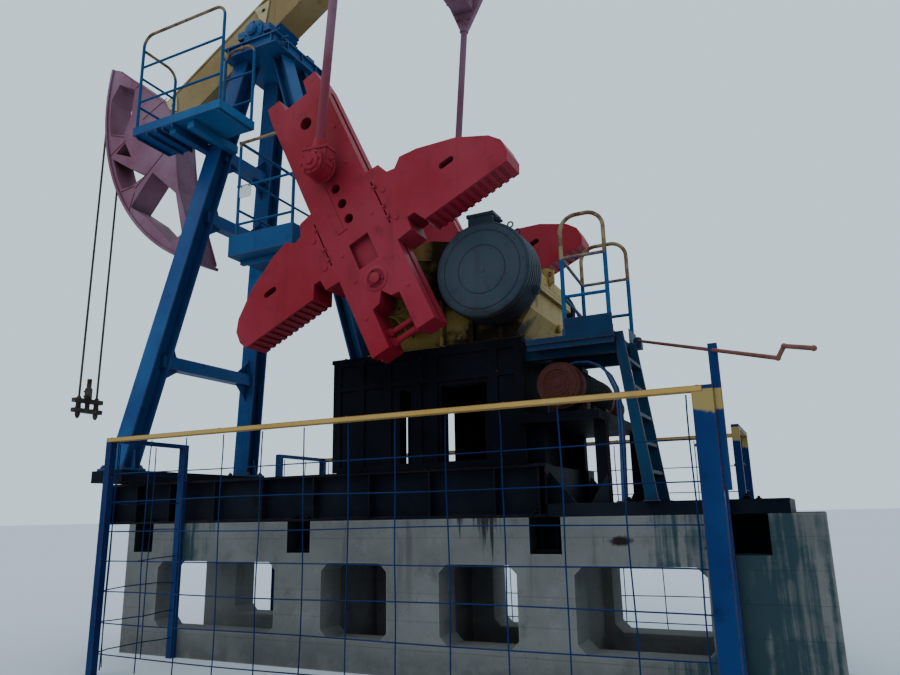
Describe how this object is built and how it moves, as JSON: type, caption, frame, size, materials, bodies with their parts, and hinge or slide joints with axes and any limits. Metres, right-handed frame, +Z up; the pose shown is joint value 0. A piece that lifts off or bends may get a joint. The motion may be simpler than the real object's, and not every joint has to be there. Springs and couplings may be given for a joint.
{
  "type": "pumpjack",
  "caption": "Beam pumping unit on a pierced concrete foundation: horse head, walking beam, tower, slab cranks with bolted counterweights, gearbox, motors, platforms and a mesh guard fence.",
  "frame": {"origin": "centre of the foundation's underside on the ground", "axes": "+X along the skid away from the well, +Y across the machine away from the pictured side, +Z up"},
  "size_m": [9.085, 4.6109, 9.5511],
  "materials": {
    "concrete": "rough cast concrete, weathered",
    "red_paint": "faded semi gloss",
    "faded_red_paint": "faded matte",
    "ochre_paint": "faded semi gloss",
    "black_paint": "dull",
    "slate_paint": "satin",
    "rusty_red_paint": "dull and stained",
    "belt_rubber": "matte",
    "bare_steel": "greasy and dull",
    "rust_paint": "dull",
    "blue_paint": "faded semi gloss"
  },
  "bodies": {
    "base": {"near_foundation_wall": "concrete", "far_foundation_wall": "concrete", "foundation_cross_walls": "concrete", "near_skid_beam": "black_paint", "far_skid_beam": "black_paint", "skid_crossmembers": "black_paint", "rear_skid_frame": "black_paint", "tower_sill": "black_paint", "gearbox_stand": "black_paint", "gearbox_case": "ochre_paint", "gearbox_cover": "ochre_paint", "drive_motor": "slate_paint", "input_sheave": "black_paint", "drive_belt": "belt_rubber", "belt_motor": "rusty_red_paint", "belt_motor_frame": "black_paint", "near_front_leg": "blue_paint", "far_front_leg": "blue_paint", "rear_legs": "blue_paint", "tower_struts": "blue_paint", "tower_head": "blue_paint", "upper_platform": "blue_paint", "upper_handrail": "blue_paint", "lower_platform": "blue_paint", "lower_handrail": "blue_paint", "service_platform": "blue_paint", "service_handrail": "blue_paint", "service_ladder": "blue_paint", "near_fence_mesh": "blue_paint", "far_fence_mesh": "blue_paint", "end_fence_mesh": "blue_paint", "fence_posts": "blue_paint", "fence_rails": "ochre_paint"},
    "cranks": {"crankshaft": "red_paint", "near_crank": "red_paint", "far_crank": "red_paint", "near_upper_weight": "red_paint", "near_lower_weight": "red_paint", "far_upper_weight": "red_paint", "far_lower_weight": "red_paint"},
    "beam": {"walking_beam": "ochre_paint", "horse_head": "faded_red_paint", "saddle_shaft": "black_paint", "tail_bearing": "ochre_paint", "bridle_top": "bare_steel"},
    "pitmans": {"equalizer": "faded_red_paint", "near_pitman": "faded_red_paint", "far_pitman": "faded_red_paint", "near_wrist_bearing": "red_paint", "far_wrist_bearing": "red_paint"},
    "hanger": {"bridle_cables": "bare_steel", "carrier_bar": "bare_steel"},
    "brake": {"brake_rod": "rust_paint"}
  },
  "joints": [
    {"name": "crank_turn", "type": "hinge", "parent": "base", "child": "cranks", "pos_m": [0.06, 0, 3.53], "axis": [0, 1, 0], "continuous": true},
    {"name": "beam_rock", "type": "hinge", "parent": "base", "child": "beam", "pos_m": [-2.35, 0, 7.55], "axis": [0, 1, 0], "range_deg": [-3.4, 60.7]},
    {"name": "pitman_swing", "type": "hinge", "parent": "beam", "child": "pitmans", "pos_m": [-0.18213, 0, 8.77492], "axis": [0, 1, 0], "range_deg": [-71.3, 4.2]},
    {"name": "hanger_slide", "type": "slide", "parent": "base", "child": "hanger", "axis": [0, 0, 1], "range_m": [-0.189, 3.289], "deforming": ["bridle_cables"]},
    {"name": "brake_turn", "type": "hinge", "parent": "base", "child": "brake", "pos_m": [2.16, -0.154, 2.917], "axis": [0.4363, -0.8597, -0.2655], "range_deg": [-170, 170]}
  ],
  "couplings": [
    {"joint": "pitman_swing", "follows": "beam_rock", "ratio": -1.171},
    {"joint": "hanger_slide", "follows": "beam_rock", "m_per_rad": 3.1}
  ]
}
